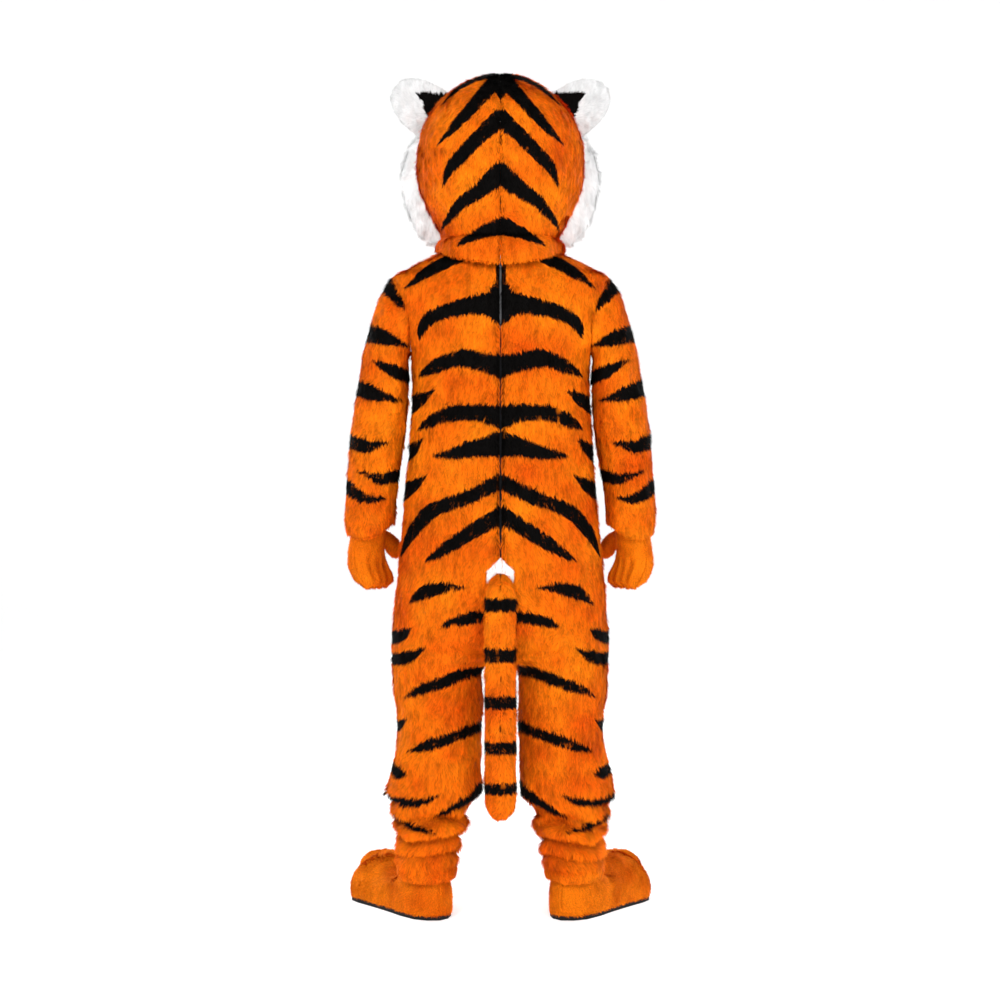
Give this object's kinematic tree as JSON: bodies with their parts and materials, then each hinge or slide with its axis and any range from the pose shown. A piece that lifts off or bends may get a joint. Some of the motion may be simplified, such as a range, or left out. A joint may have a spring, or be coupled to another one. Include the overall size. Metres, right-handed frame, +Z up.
{
  "type": "tiger mascot costume",
  "caption": "Worn full-body tiger mascot costume: orange plush head, zipped suit with legs and sleeves, gloves, feet and stuffed tail, black stripes, white cheek fur and ears.",
  "frame": {"origin": "the middle of the neck at the height of the shoulders that carry the suit, 1.456 m above the soles", "axes": "+Z up, the face looks along -Y, the wearer's left is at +X"},
  "size_m": [0.696, 0.52, 1.878],
  "materials": {
    "orange_plush": "bright orange short-pile plush with black stripes dyed in",
    "white_fur": "long white fur fabric",
    "black_felt": "matt black felt",
    "nose_felt": "smooth pink-brown felt",
    "zip_tape": "woven black zip tape",
    "zip_teeth": "dark grey nylon coil",
    "sole_rubber": "matt black rubber sheet"
  },
  "bodies": {
    "root": {"suit_front_left": "orange_plush", "suit_back_left": "orange_plush", "sleeve_left": "orange_plush", "ankle_cuff_left": "orange_plush", "head_front_left": "orange_plush", "head_back_left": "orange_plush", "neck_skirt_left": "orange_plush", "ruff_left": "white_fur", "eye_left": "white_fur", "pupil_left": "black_felt", "ear_front_left": "white_fur", "ear_back_left": "white_fur", "foot_outer_left": "orange_plush", "foot_inner_left": "orange_plush", "sole_left": "sole_rubber", "glove_palm_left": "orange_plush", "glove_back_left": "orange_plush", "glove_thumb_left": "orange_plush", "suit_front_right": "orange_plush", "suit_back_right": "orange_plush", "sleeve_right": "orange_plush", "ankle_cuff_right": "orange_plush", "head_front_right": "orange_plush", "head_back_right": "orange_plush", "neck_skirt_right": "orange_plush", "ruff_right": "white_fur", "eye_right": "white_fur", "pupil_right": "black_felt", "ear_front_right": "white_fur", "ear_back_right": "white_fur", "foot_outer_right": "orange_plush", "foot_inner_right": "orange_plush", "sole_right": "sole_rubber", "glove_palm_right": "orange_plush", "glove_back_right": "orange_plush", "glove_thumb_right": "orange_plush", "muzzle": "white_fur", "chin": "white_fur", "nose": "nose_felt", "zip_tape": "zip_tape", "zip_teeth": "zip_teeth", "zip_slider": "zip_teeth", "tail": "orange_plush", "tail_patch": "white_fur"}
  },
  "joints": []
}
